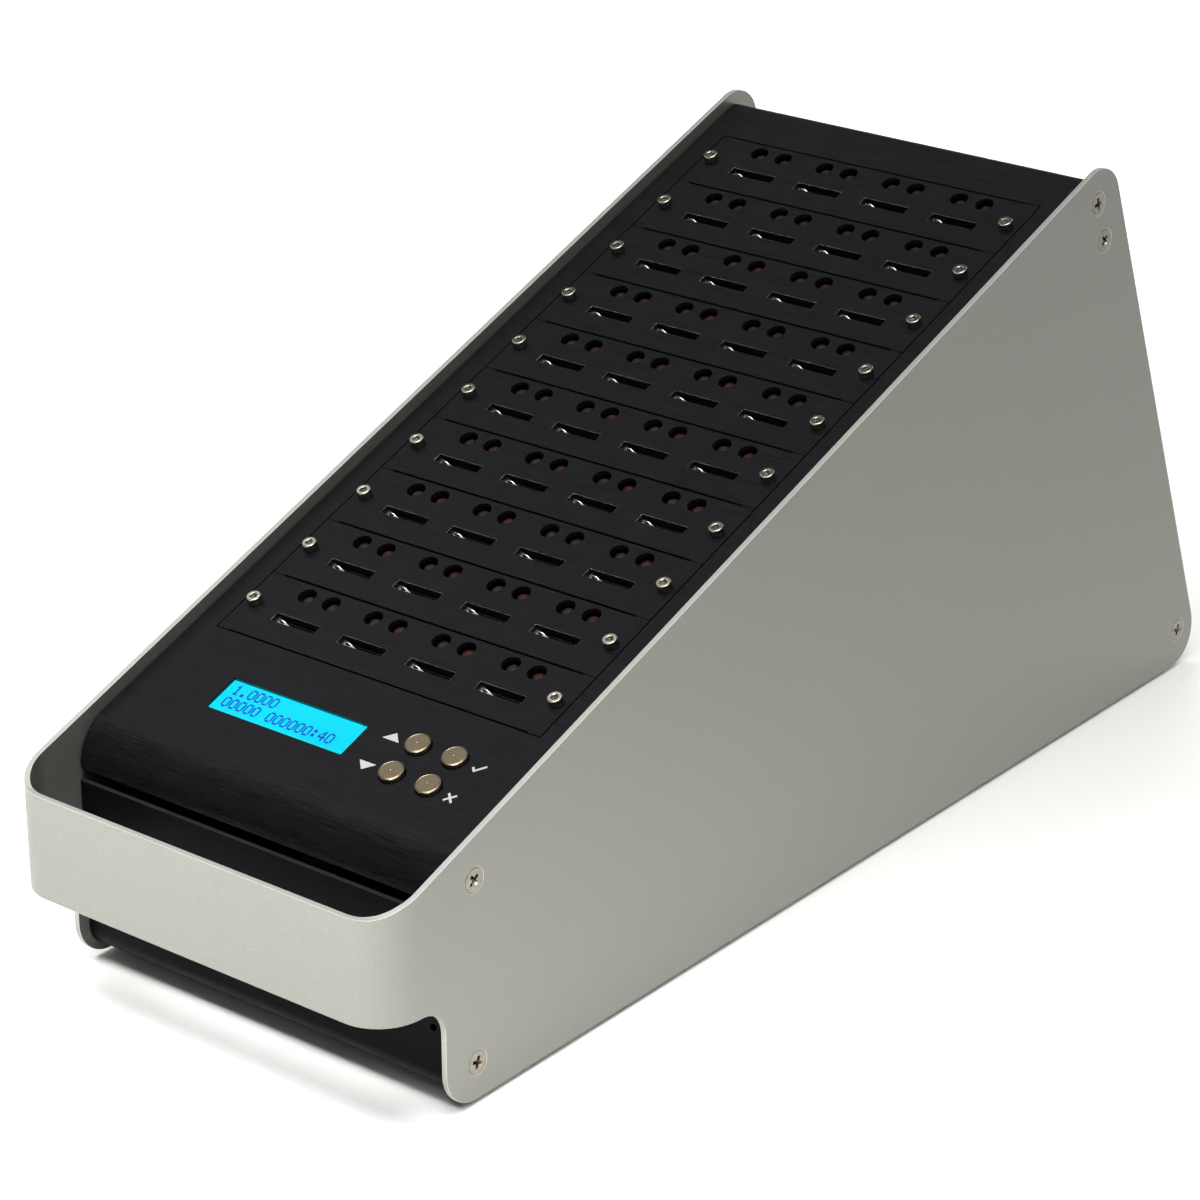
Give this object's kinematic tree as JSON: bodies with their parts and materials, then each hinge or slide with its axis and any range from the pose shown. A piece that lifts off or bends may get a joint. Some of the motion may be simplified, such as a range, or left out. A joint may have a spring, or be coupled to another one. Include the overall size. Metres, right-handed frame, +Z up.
{
  "type": "memory card duplicator",
  "caption": "Sloped desktop card duplicator with rows of card slots and status lamps, a small lit display, push keys and a bent sheet wrap that forms a front handle.",
  "frame": {"origin": "centre of the overall box in plan, on the table under the feet", "axes": "+X to the user's right, +Y from the handle to the rear panel, +Z up"},
  "size_m": [0.1776, 0.5132, 0.2392],
  "materials": {
    "wrap_silver": "fine bead-blasted and clear anodised sheet, satin",
    "case_black": "black anodised sheet with a fine brushed line across the width, satin",
    "key_nickel": "satin nickel with turned face",
    "screw_zinc": "zinc-plated steel, slightly dull",
    "rail_aluminium": "extruded bar with nickel-plated cap screws",
    "board_green": "circuit board with solder resist",
    "display_cyan": "backlit character display",
    "pane_clear": "clear acrylic",
    "supply_steel": "plain galvanised steel case",
    "plastic_black": "moulded plastic, matt",
    "foot_rubber": "moulded rubber"
  },
  "bodies": {
    "casing": {"outer_wrap": "wrap_silver", "bottom_tray": "case_black", "top_panel": "case_black", "rear_panel": "case_black", "side_screw_left_front_top": "screw_zinc", "side_screw_left_front_bottom": "screw_zinc", "side_screw_left_rear_top": "screw_zinc", "side_screw_left_rear_upper": "screw_zinc", "side_screw_left_rear_bottom": "screw_zinc", "plate_rail_left": "rail_aluminium", "side_screw_right_front_top": "screw_zinc", "side_screw_right_front_bottom": "screw_zinc", "side_screw_right_rear_top": "screw_zinc", "side_screw_right_rear_upper": "screw_zinc", "side_screw_right_rear_bottom": "screw_zinc", "plate_rail_right": "rail_aluminium", "port_plate_01": "case_black", "port_board_01": "board_green", "port_plate_02": "case_black", "port_board_02": "board_green", "port_plate_03": "case_black", "port_board_03": "board_green", "port_plate_04": "case_black", "port_board_04": "board_green", "port_plate_05": "case_black", "port_board_05": "board_green", "port_plate_06": "case_black", "port_board_06": "board_green", "port_plate_07": "case_black", "port_board_07": "board_green", "port_plate_08": "case_black", "port_board_08": "board_green", "port_plate_09": "case_black", "port_board_09": "board_green", "port_plate_10": "case_black", "port_board_10": "board_green", "key_board": "board_green", "display_pane": "pane_clear", "display_module": "display_cyan", "controller_board": "board_green", "power_supply": "supply_steel", "port_ribbon": "plastic_black", "supply_harness": "plastic_black", "mains_harness": "plastic_black", "fan_frame": "plastic_black", "power_inlet": "plastic_black", "switch_housing": "plastic_black", "foot_front_left": "foot_rubber", "foot_front_right": "foot_rubber", "foot_rear_left": "foot_rubber", "foot_rear_right": "foot_rubber"},
    "key_upper_left": {"key_upper_left": "key_nickel"},
    "key_upper_right": {"key_upper_right": "key_nickel"},
    "key_lower_left": {"key_lower_left": "key_nickel"},
    "key_lower_right": {"key_lower_right": "key_nickel"},
    "fan_rotor": {"fan_rotor": "plastic_black"},
    "power_rocker": {"power_rocker": "plastic_black"}
  },
  "joints": [
    {"name": "key_upper_left_press", "type": "slide", "parent": "casing", "child": "key_upper_left", "axis": [0, 0.3461, -0.9382], "range_m": [0, 0.001], "stiffness_N_per_m": 1500},
    {"name": "key_upper_right_press", "type": "slide", "parent": "casing", "child": "key_upper_right", "axis": [0, 0.3461, -0.9382], "range_m": [0, 0.001], "stiffness_N_per_m": 1500},
    {"name": "key_lower_left_press", "type": "slide", "parent": "casing", "child": "key_lower_left", "axis": [0, 0.3461, -0.9382], "range_m": [0, 0.001], "stiffness_N_per_m": 1500},
    {"name": "key_lower_right_press", "type": "slide", "parent": "casing", "child": "key_lower_right", "axis": [0, 0.3461, -0.9382], "range_m": [0, 0.001], "stiffness_N_per_m": 1500},
    {"name": "fan_spin", "type": "hinge", "parent": "casing", "child": "fan_rotor", "pos_m": [0, 0.19164, 0.16515], "axis": [0, 0.9382, 0.3461], "continuous": true},
    {"name": "power_rocker_tip", "type": "hinge", "parent": "casing", "child": "power_rocker", "pos_m": [0.03, 0.22363, 0.07844], "axis": [1, 0, 0], "range_deg": [-16, 0]}
  ]
}
